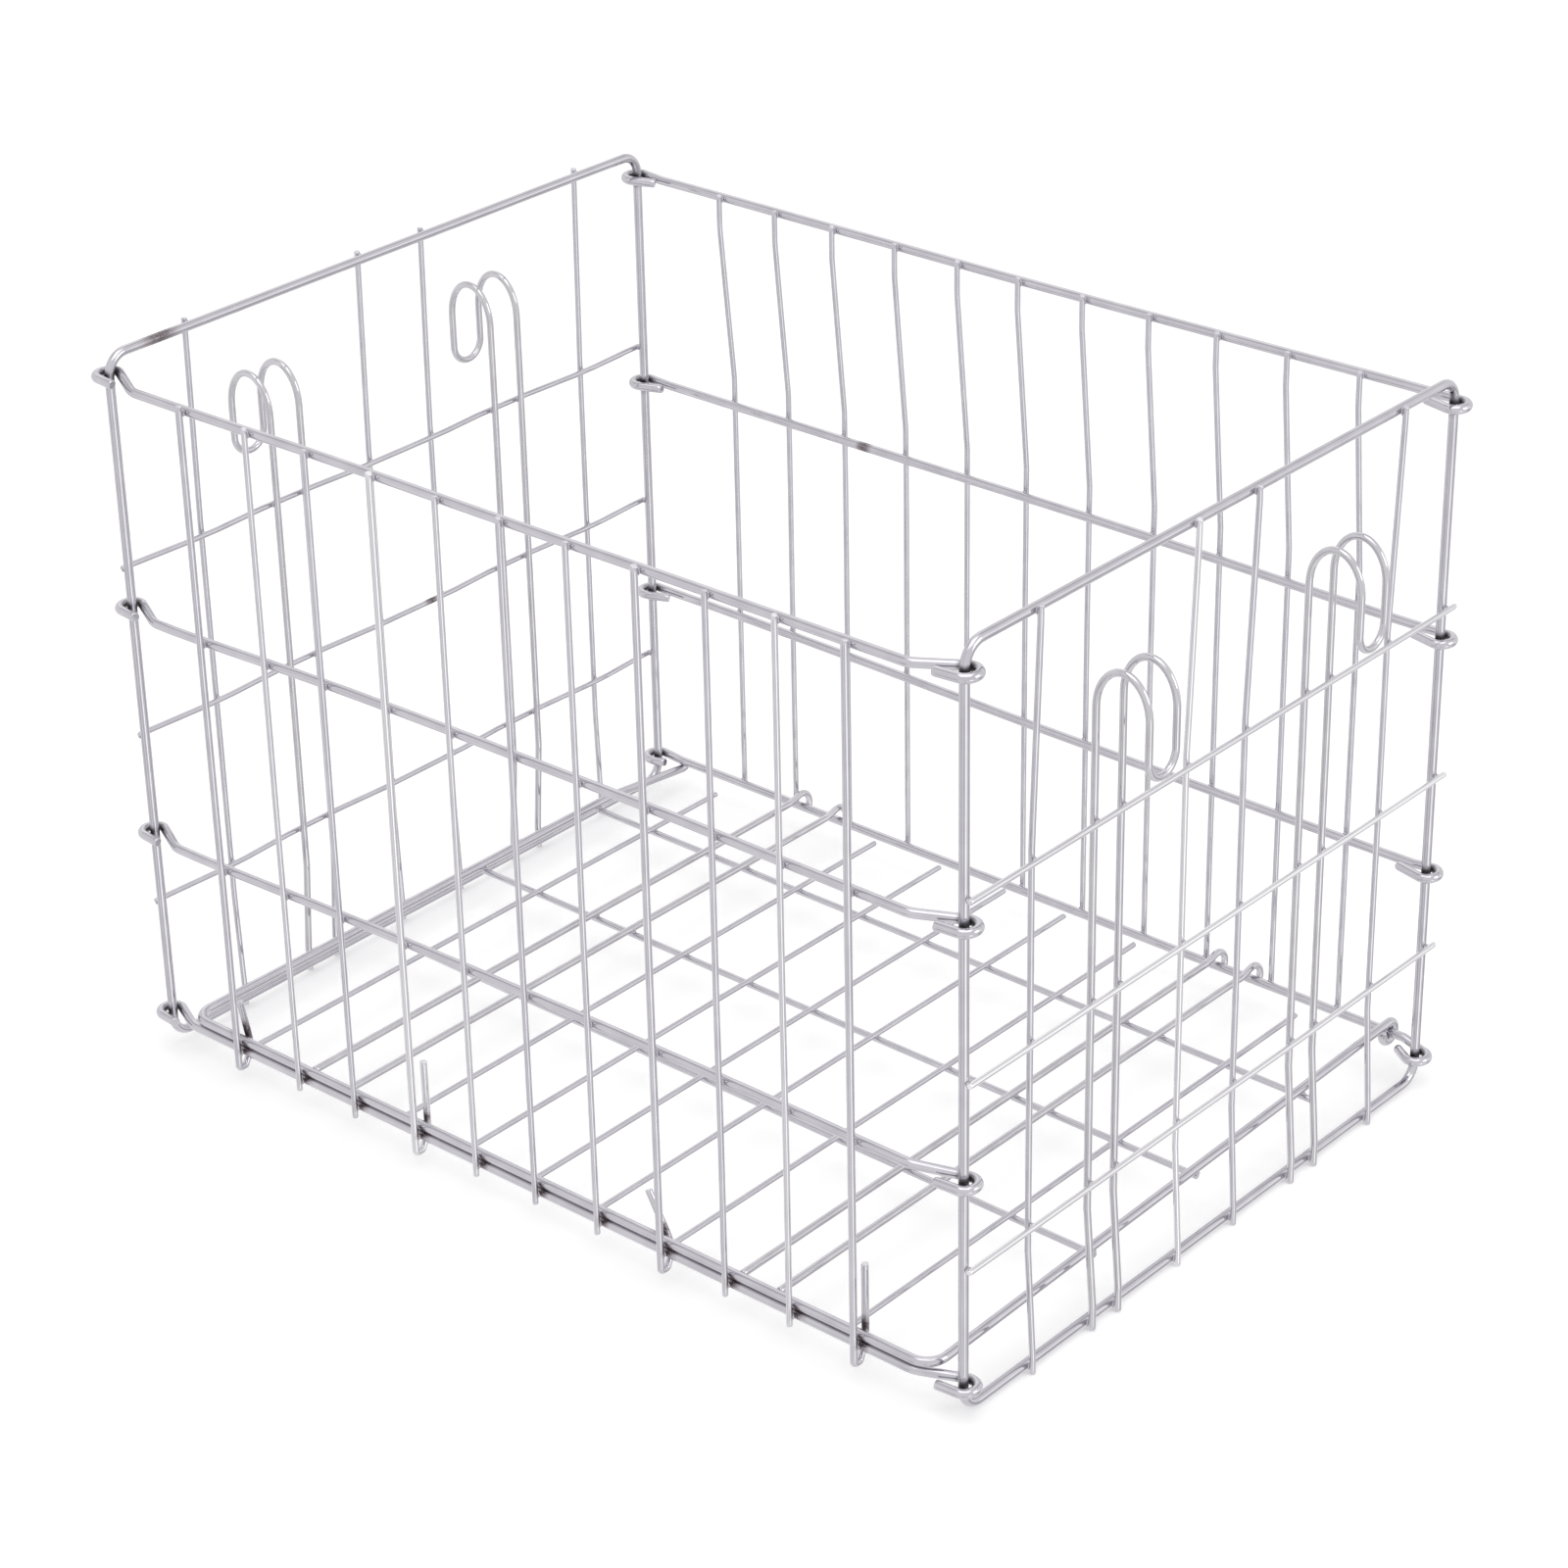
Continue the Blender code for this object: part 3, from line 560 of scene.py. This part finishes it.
def findCrossings():
    # where two wires of one body lie against each other at an angle
    found = {}
    for index, (point, owner, direction) in enumerate(samples):
        own = wires[owner]
        for near, other, distance in nearby.find_range(point, own["radius"] + weld["search"]):
            mate = samples[other][1]
            if mate <= owner or wires[mate]["body"] != own["body"]:
                continue
            if distance > own["radius"] + wires[mate]["radius"] + weld["near"]:
                continue
            if abs(direction.dot(samples[other][2])) > weld["parallel"]:
                continue
            found.setdefault((owner, mate), []).append((distance, index, other))
    crossings = []
    for (owner, mate), pairs in found.items():
        taken = []
        for distance, index, other in sorted(pairs):
            point = samples[index][0]
            if all((point - place).length > weld["apart"] for place in taken):
                taken.append(point)
                crossings.append((index, other))
    return crossings


def addLump(shell, index, other):
    (first, owner, along), (second, mate, over) = samples[index], samples[other]
    ends = intersect_line_line(first, first + along, second, second + over)
    if ends is None or (ends[0] - first).length > weld["farthest"]:
        ends = (first, second)
    radiusA, radiusB = wires[owner]["radius"], wires[mate]["radius"]
    normal = ends[1] - ends[0]
    gap = normal.length - radiusA - radiusB
    normal.normalize()
    center = ends[0] + normal * (radiusA + gap / 2)
    over = (over - along * over.dot(along)).normalized()
    normal = along.cross(over)
    coordLayer = shell.verts.layers.float_vector["wireCoord"]
    contactShadeLayer = shell.verts.layers.float["contactShade"]
    made = bmesh.ops.create_icosphere(shell, subdivisions=2, radius=1)["verts"]
    deep = max(gap, 0) / 2 + weld["bite"]
    for vert in made:
        bumps = noise.noise(vert.co * weld["lumpScale"] + center * weld["placeScale"])
        ragged = 1 + weld["rough"] * bumps
        local = vert.co.copy()
        vert.co = center + ragged * (
            along * local.x * radiusB * weld["spread"] + over * local.y * radiusA * weld["spread"]
            + normal * local.z * deep)
        vert[coordLayer] = vert.co.copy()
        # the weld lump takes some painted contact shade as well
        vert[contactShadeLayer] = weld["tone"]


lumps = {}
for index, other in findCrossings():
    body = wires[samples[index][1]]["body"]
    if body not in lumps:
        lumps[body] = newShell()
    addLump(lumps[body], index, other)

bodySlots = {"back_panel": "frame_wire", "front_panel": "frame_wire", "left_end": "frame_wire",
             "right_end": "frame_wire", "floor": "thin_wire"}
weldPieces = []
for body, shell in lumps.items():
    bmesh.ops.recalc_face_normals(shell, faces=shell.faces)
    for face in shell.faces:
        face.smooth = True
    piece = placeShell(body + "Welds", shell)
    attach(piece, body)
    weldPieces.append((piece, bodySlots[body]))


def markPiece(piece, owners):
    # contact: painted shade where wires touch, a painted shadow inside an eyelet, low where a weld
    # touches;
    # the other mark: weld scorches, painted shade where uprights cross the floor frame, and dark spots
    # behind latches
    contactShade = piece.data.attributes["contactShade"].data
    burn = piece.data.attributes["burn"].data
    body = wires[min(owners)]["body"]
    for vert in piece.data.vertices:
        best = 0.0
        for near, index, distance in nearby.find_range(vert.co, eyeletShade["search"]):
            owner = samples[index][1]
            if owner in owners:
                continue
            clear = max(distance - wires[owner]["radius"], 0)
            # painted shade near a wire of the same body or the floor; a painted shadow inside an eyelet
            # round another body's post
            if wires[owner]["body"] == body or "floor" in (body, wires[owner]["body"]):
                best = max(best, weld["tone"] * (1 - clear / weld["reach"]))
            else:
                fade = (eyeletShade["reach"] - clear) / (eyeletShade["reach"] - eyeletShade["full"])
                best = max(best, min(fade, 1))
        contactShade[vert.index].value = best
        shadeAndScorch = 0.0
        for mark in scorchShadeMarks:
            away = (vert.co - Vector(mark["place"])).length / mark["reach"]
            if away < 1:
                shadeAndScorch = max(shadeAndScorch, mark["strength"] * (1 - away * away))
        burn[vert.index].value = shadeAndScorch


ownersOf = {}
for index, entry in enumerate(wires):
    ownersOf.setdefault(entry["piece"].name, (entry["piece"], set()))[1].add(index)
for piece, owners in ownersOf.values():
    markPiece(piece, owners)
print("contact marks set on", len(ownersOf), "pieces")


def newGroup(name, inputs, outputs):
    group = bpy.data.node_groups.new(name, "ShaderNodeTree")
    for socketName, kind, value in inputs:
        socket = group.interface.new_socket(name=socketName, in_out="INPUT", socket_type=kind)
        if value is not None:
            socket.default_value = value
    for socketName, kind in outputs:
        group.interface.new_socket(name=socketName, in_out="OUTPUT", socket_type=kind)
    return group, group.nodes.new("NodeGroupInput"), group.nodes.new("NodeGroupOutput")


def mathNode(tree, operation, first, second=None, third=None, clamp=False):
    node = tree.nodes.new("ShaderNodeMath")
    node.operation = operation
    node.use_clamp = clamp
    for socket, value in zip(node.inputs, (first, second, third)):
        if value is None:
            continue
        if isinstance(value, (int, float)):
            socket.default_value = value
        else:
            tree.links.new(value, socket)
    return node.outputs[0]


def mixColor(tree, factor, first, second):
    node = tree.nodes.new("ShaderNodeMix")
    node.data_type = "RGBA"
    for name, value in (("Factor_Float", factor), ("A_Color", first), ("B_Color", second)):
        socket = next(item for item in node.inputs if item.identifier == name)
        if isinstance(value, (int, float, tuple)):
            socket.default_value = value
        else:
            tree.links.new(value, socket)
    return next(item for item in node.outputs if item.identifier == "Result_Color")


def drawLinesGroup():
    # fine lines left along the wire by the drawing die
    group, given, out = newGroup(
        "drawLines",
        [("Coord", "NodeSocketVector", None), ("Across", "NodeSocketFloat", 2600.0),
         ("Along", "NodeSocketFloat", 26.0)],
        [("Lines", "NodeSocketFloat"), ("Height", "NodeSocketFloat")])
    scale = group.nodes.new("ShaderNodeCombineXYZ")
    group.links.new(given.outputs["Across"], scale.inputs[0])
    group.links.new(given.outputs["Across"], scale.inputs[1])
    group.links.new(given.outputs["Along"], scale.inputs[2])
    stretch = group.nodes.new("ShaderNodeVectorMath")
    stretch.operation = "MULTIPLY"
    group.links.new(given.outputs["Coord"], stretch.inputs[0])
    group.links.new(scale.outputs[0], stretch.inputs[1])
    lines = group.nodes.new("ShaderNodeTexNoise")
    lines.inputs["Scale"].default_value = 1.0
    lines.inputs["Detail"].default_value = 3.0
    lines.inputs["Roughness"].default_value = 0.55
    group.links.new(stretch.outputs[0], lines.inputs["Vector"])
    spread = group.nodes.new("ShaderNodeMapRange")
    spread.inputs["From Min"].default_value = 0.33
    spread.inputs["From Max"].default_value = 0.67
    group.links.new(lines.outputs[0], spread.inputs["Value"])
    group.links.new(spread.outputs[0], out.inputs["Lines"])
    group.links.new(lines.outputs[0], out.inputs["Height"])
    return group


def mottleGroup():
    # cloudy patches and fine grain of the plating
    group, given, out = newGroup(
        "platingMottle",
        [("Coord", "NodeSocketVector", None), ("Cloud Scale", "NodeSocketFloat", 90.0),
         ("Grain Scale", "NodeSocketFloat", 3200.0)],
        [("Cloud", "NodeSocketFloat"), ("Grain", "NodeSocketFloat")])
    for name, source, detail in (("Cloud", "Cloud Scale", 4.0), ("Grain", "Grain Scale", 2.0)):
        texture = group.nodes.new("ShaderNodeTexNoise")
        texture.inputs["Detail"].default_value = detail
        group.links.new(given.outputs["Coord"], texture.inputs["Vector"])
        group.links.new(given.outputs[source], texture.inputs["Scale"])
        spread = group.nodes.new("ShaderNodeMapRange")
        spread.inputs["From Min"].default_value = 0.3
        spread.inputs["From Max"].default_value = 0.7
        group.links.new(texture.outputs[0], spread.inputs["Value"])
        group.links.new(spread.outputs[0], out.inputs[name])
    return group


# Weld marks and painted shade: the painted contact shade falls off by a power and darkens toward near
# black, the grain breaks both marks up (gain, least), and a burn mark turns the wire brown (gain) and
# then black (gain, offset).
shadeAndScorch = {"fall": 1.4, "contactShadePatches": (0.4, 0.8), "scorchShadePatches": (1.3, 0.25), "toBrown": 1.6,
          "toBlack": (2.4, -1.1), "dull": (0.020, 0.018, 0.020, 1), "brown": (0.30, 0.25, 0.27, 1),
          "black": (0.03, 0.027, 0.03, 1)}


def shadeScorchGroup():
    # painted shade beside a weld, painted shadow inside an eyelet, and brown to black scorches
    group, given, out = newGroup(
        "shadeScorchTint",
        [("Color", "NodeSocketColor", (0.6, 0.6, 0.6, 1)), ("Contact", "NodeSocketFloat", 0.0),
         ("Burn", "NodeSocketFloat", 0.0), ("Break Up", "NodeSocketFloat", 0.5),
         ("Weld Tone", "NodeSocketFloat", 0.5)],
        [("Color", "NodeSocketColor"), ("Dull", "NodeSocketFloat")])
    contactShade = mathNode(group, "POWER", given.outputs["Contact"], shadeAndScorch["fall"])
    ragged = mathNode(group, "MULTIPLY_ADD", given.outputs["Break Up"], *shadeAndScorch["contactShadePatches"])
    dull = mathNode(group, "MULTIPLY", contactShade, ragged)
    dull = mathNode(group, "MULTIPLY", dull, given.outputs["Weld Tone"], clamp=True)
    dark = mixColor(group, dull, given.outputs["Color"], shadeAndScorch["dull"])
    patchy = mathNode(group, "MULTIPLY_ADD", given.outputs["Break Up"], *shadeAndScorch["scorchShadePatches"])
    burn = mathNode(group, "MULTIPLY", given.outputs["Burn"], patchy, clamp=True)
    browned = mathNode(group, "MULTIPLY", burn, shadeAndScorch["toBrown"], clamp=True)
    brown = mixColor(group, browned, dark, shadeAndScorch["brown"])
    charred = mathNode(group, "MULTIPLY_ADD", burn, *shadeAndScorch["toBlack"], clamp=True)
    black = mixColor(group, charred, brown, shadeAndScorch["black"])
    group.links.new(black, out.inputs["Color"])
    group.links.new(mathNode(group, "MAXIMUM", dull, burn), out.inputs["Dull"])
    return group


drawLines, mottle, shadeScorchTint = drawLinesGroup(), mottleGroup(), shadeScorchGroup()

finishes = {
    "frame_wire": {"light": (0.640, 0.628, 0.666, 1), "dark": (0.500, 0.486, 0.528, 1),
                   "roughness": 0.09, "lines": 0.55, "bump": 0.03, "shadeStrength": 0.95},
    "hook_wire": {"light": (0.655, 0.646, 0.676, 1), "dark": (0.525, 0.511, 0.545, 1),
                  "roughness": 0.08, "lines": 0.50, "bump": 0.03, "shadeStrength": 0.90},
    "latch_wire": {"light": (0.645, 0.634, 0.672, 1), "dark": (0.500, 0.486, 0.528, 1),
                   "roughness": 0.09, "lines": 0.55, "bump": 0.03, "shadeStrength": 0.95},
    "thin_wire": {"light": (0.655, 0.644, 0.682, 1), "dark": (0.520, 0.506, 0.550, 1),
                  "roughness": 0.08, "lines": 0.50, "bump": 0.03, "shadeStrength": 0.90},
}
# what all the wires share: the near-white colour of the painted reflection, and what grain, painted shade
# and scorches do to the shine
plating = {"pale": (0.86, 0.85, 0.87, 1), "grainRough": 0.04, "darkeningRough": 0.30, "darkeningMetal": -0.35,
           "bumpDepth": 0.0002}


def placeGroup(tree, group, **values):
    node = tree.nodes.new("ShaderNodeGroup")
    node.node_tree = group
    for name, value in values.items():
        socket = node.inputs[name.replace("_", " ")]
        if isinstance(value, (int, float, tuple)):
            socket.default_value = value
        else:
            tree.links.new(value, socket)
    return node


def attributeSocket(tree, name, output):
    node = tree.nodes.new("ShaderNodeAttribute")
    node.attribute_name = name
    return node.outputs[output]


def platedSteel(name, finish):
    material = bpy.data.materials.new(name)
    material.use_nodes = True
    tree = material.node_tree
    shader = tree.nodes["Principled BSDF"]
    coord = attributeSocket(tree, "wireCoord", "Vector")
    lines = placeGroup(tree, drawLines, Coord=coord)
    cloud = placeGroup(tree, mottle, Coord=coord)
    shade = mathNode(tree, "MULTIPLY_ADD", lines.outputs["Lines"], finish["lines"],
                     mathNode(tree, "MULTIPLY", cloud.outputs["Cloud"], 1 - finish["lines"]))
    base = mixColor(tree, shade, finish["dark"], finish["light"])
    # painted reflection: the listed wires mixed toward near-white
    base = mixColor(tree, attributeSocket(tree, "pale", "Fac"), base, plating["pale"])
    # painted contact shade and the scorch marks darken the colour here
    tint = placeGroup(tree, shadeScorchTint, Color=base, Contact=attributeSocket(tree, "contactShade", "Fac"),
                      Burn=attributeSocket(tree, "burn", "Fac"), Break_Up=cloud.outputs["Grain"],
                      Weld_Tone=finish["shadeStrength"])
    tree.links.new(tint.outputs["Color"], shader.inputs["Base Color"])
    rough = mathNode(tree, "MULTIPLY_ADD", cloud.outputs["Grain"], plating["grainRough"],
                     finish["roughness"])
    rough = mathNode(tree, "MULTIPLY_ADD", tint.outputs["Dull"], plating["darkeningRough"], rough)
    tree.links.new(rough, shader.inputs["Roughness"])
    metal = mathNode(tree, "MULTIPLY_ADD", tint.outputs["Dull"], plating["darkeningMetal"], 1.0, clamp=True)
    tree.links.new(metal, shader.inputs["Metallic"])
    bump = tree.nodes.new("ShaderNodeBump")
    bump.inputs["Strength"].default_value = finish["bump"]
    bump.inputs["Distance"].default_value = plating["bumpDepth"]
    tree.links.new(lines.outputs["Height"], bump.inputs["Height"])
    tree.links.new(bump.outputs["Normal"], shader.inputs["Normal"])
    material.diffuse_color = finish["light"]
    return material


materials = {}
for slotName, finish in finishes.items():
    words = slotName.split("_")
    materials[slotName] = platedSteel("plated" + "".join(word.capitalize() for word in words), finish)
for entry in wires:
    if not entry["piece"].data.materials:
        entry["piece"].data.materials.append(materials[entry["slot"]])
for piece, slotName in weldPieces:
    piece.data.materials.append(materials[slotName])
print("finishes set")


stage = {"floorSize": 8.0, "floorCells": 8, "floorDrop": 0.0004, "floorColor": (0.97, 0.97, 0.97, 1),
         "floorRough": 0.9, "floorSpecular": 0.1, "floorGlow": 0.16, "skyDiffuse": 0.86,
         "lampAim": (0, 0, 0.15)}


def buildFloor():
    shell = bmesh.new()
    bmesh.ops.create_grid(shell, x_segments=stage["floorCells"], y_segments=stage["floorCells"],
                          size=stage["floorSize"] / 2)
    table = placeShell("whiteTable", shell)
    table.location = (0, 0, -stage["floorDrop"])
    material = bpy.data.materials.new("whitePaper")
    material.use_nodes = True
    tree = material.node_tree
    shader = tree.nodes["Principled BSDF"]
    shader.inputs["Base Color"].default_value = stage["floorColor"]
    shader.inputs["Roughness"].default_value = stage["floorRough"]
    shader.inputs["Specular IOR Level"].default_value = stage["floorSpecular"]
    shader.inputs["Emission Color"].default_value = (1, 1, 1, 1)
    shader.inputs["Emission Strength"].default_value = stage["floorGlow"]
    table.data.materials.append(material)
    table.visible_glossy = False


# What the plated wire mirrors: a pale tent with dimmer and brighter places. Each is
# (direction, half width in degrees, softness in degrees, how much it adds to the tent).
tent = {
    "plain": 0.98,
    "places": [
        ((-0.390, -0.793, -0.462), 9, 9, -0.32), ((0.473, -0.749, -0.462), 5, 6, -0.34),
        ((0.847, -0.274, -0.462), 6, 8, 0.85), ((0.651, 0.601, -0.462), 10, 9, -0.34),
        ((-0.585, -0.200, 0.786), 11, 10, -0.25), ((-0.585, 0.518, 0.624), 9, 10, 0.26),
        ((-0.585, -0.663, -0.469), 10, 10, 0.06), ((-0.030, 0.667, 0.745), 9, 9, -0.27),
        ((0.736, 0.667, 0.120), 6, 8, 0.40), ((0.387, 0.667, -0.637), 10, 9, -0.18),
    ],
}


def buildTent():
    world = bpy.data.worlds.new("paleTent")
    bpy.context.scene.world = world
    world.use_nodes = True
    tree = world.node_tree
    background = tree.nodes["Background"]
    direction = tree.nodes.new("ShaderNodeTexCoord").outputs["Generated"]
    mirrored = tent["plain"]
    for aim, width, soft, strength in tent["places"]:
        facing = tree.nodes.new("ShaderNodeVectorMath")
        facing.operation = "DOT_PRODUCT"
        tree.links.new(direction, facing.inputs[0])
        facing.inputs[1].default_value = Vector(aim).normalized()
        ramp = tree.nodes.new("ShaderNodeMapRange")
        ramp.interpolation_type = "SMOOTHSTEP"
        ramp.inputs["From Min"].default_value = math.cos(math.radians(width + soft))
        ramp.inputs["From Max"].default_value = math.cos(math.radians(max(width - soft / 2, 0)))
        ramp.inputs["To Max"].default_value = strength
        tree.links.new(facing.outputs["Value"], ramp.inputs["Value"])
        mirrored = mathNode(tree, "ADD", ramp.outputs[0], mirrored)
    path = tree.nodes.new("ShaderNodeLightPath")
    level = mathNode(tree, "MULTIPLY", mirrored, path.outputs["Is Glossy Ray"])
    seen = mathNode(tree, "MAXIMUM", path.outputs["Is Camera Ray"], path.outputs["Is Transmission Ray"])
    level = mathNode(tree, "MAXIMUM", level, seen)
    spread = mathNode(tree, "MULTIPLY", path.outputs["Is Diffuse Ray"], stage["skyDiffuse"])
    tree.links.new(mathNode(tree, "MAXIMUM", level, spread), background.inputs["Strength"])
    background.inputs["Color"].default_value = (1, 1, 1, 1)


lamps = [
    {"name": "topSoftbox", "place": (0.3, -0.4, 2.0), "size": 1.6, "watts": 7},
    {"name": "rightSoftbox", "place": (1.9, 0.5, 0.9), "size": 0.9, "watts": 5},
]


def addLamp(settings):
    light = bpy.data.lights.new(settings["name"], "AREA")
    light.shape = "SQUARE"
    light.size = settings["size"]
    light.energy = settings["watts"]
    lamp = bpy.data.objects.new(settings["name"], light)
    lamp.location = settings["place"]
    aim = Vector(stage["lampAim"]) - lamp.location
    lamp.rotation_euler = aim.to_track_quat("-Z", "Y").to_euler()
    bpy.context.scene.collection.objects.link(lamp)


camera = {"place": (1.00059, -1.14231, 0.92476), "right": (0.75806417, 0.65191394, -0.01862573),
          "up": (-0.2887911, 0.36114727, 0.88666361), "forward": (-0.584755, 0.66676897, -0.46203975),
          "lens": 95.113, "sensor": 36, "clip": (0.05, 50)}


def addCamera():
    data = bpy.data.cameras.new("photoCamera")
    data.lens = camera["lens"]
    data.sensor_width = camera["sensor"]
    data.sensor_fit = "HORIZONTAL"
    data.clip_start, data.clip_end = camera["clip"]
    viewer = bpy.data.objects.new("photoCamera", data)
    turn = Matrix((camera["right"], camera["up"], -Vector(camera["forward"]))).transposed()
    viewer.matrix_world = Matrix.Translation(camera["place"]) @ turn.to_4x4()
    bpy.context.scene.collection.objects.link(viewer)
    bpy.context.scene.camera = viewer


buildFloor()
buildTent()
for settings in lamps:
    addLamp(settings)
addCamera()
bpy.context.scene.view_settings.view_transform = "Standard"
print("stage set")
